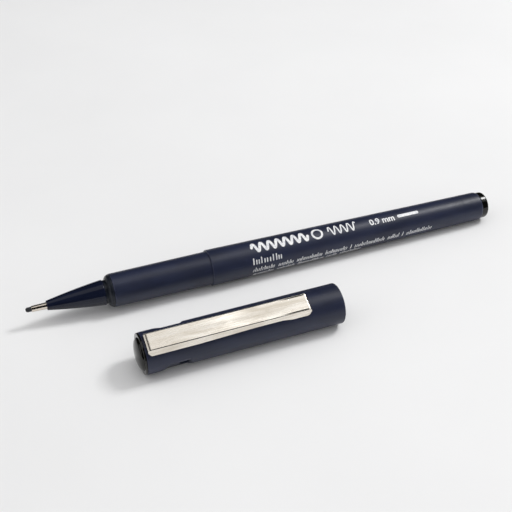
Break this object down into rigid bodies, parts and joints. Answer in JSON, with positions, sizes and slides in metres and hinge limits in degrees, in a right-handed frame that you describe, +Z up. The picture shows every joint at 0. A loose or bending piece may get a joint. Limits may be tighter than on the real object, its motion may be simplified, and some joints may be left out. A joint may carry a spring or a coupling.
{
  "type": "fineliner drawing pen",
  "caption": "Uncapped fineliner drawing pen with a metal-sleeved nib, a sealed ink reservoir in a tapered barrel, and its clip cap lying beside it.",
  "frame": {"origin": "on the surface the pen and cap lie on, under the middle of the pair's outline", "axes": "+X along the pen from nib to rear end, +Y from the cap toward the pen, +Z up"},
  "size_m": [0.1314, 0.0358, 0.0115],
  "materials": {
    "matte_navy": "fine satin texture, dark navy",
    "gloss_navy": "polished, near-black navy",
    "collar_rubber": "smooth black",
    "nib_metal": "drawn tube, warm silver",
    "nib_fibre": "ink-soaked, dull black",
    "white_plastic": "natural moulded plastic",
    "ink_fibre": "ink-soaked bonded fibre",
    "clear_film": "thin wrapped film",
    "gloss_black": "polished black",
    "clip_steel": "bright nickel, faint lengthwise brushing"
  },
  "bodies": {
    "pen": {"barrel": "matte_navy", "nose_cone": "gloss_navy", "sealing_collar": "collar_rubber", "nib_sleeve": "nib_metal", "nib": "nib_fibre", "nib_holder": "white_plastic", "reservoir_core": "ink_fibre", "reservoir_film": "clear_film", "end_plug": "gloss_black"},
    "cap": {"cap_shell": "matte_navy", "inner_cap": "white_plastic", "cap_end_button": "gloss_black"},
    "clip": {"clip": "clip_steel"}
  },
  "joints": [
    {"name": "cap_slide", "type": "slide", "parent": "pen", "child": "cap", "axis": [-0.9653, 0.2613, 0.0034], "range_m": [0, 0.0994]},
    {"name": "clip_flex", "type": "hinge", "parent": "cap", "child": "clip", "pos_m": [-0.04271, -0.01447, 0.00915], "axis": [-0.007, -0.8926, -0.4509], "range_deg": [0, 5], "stiffness_Nm_per_rad": 1.5}
  ]
}
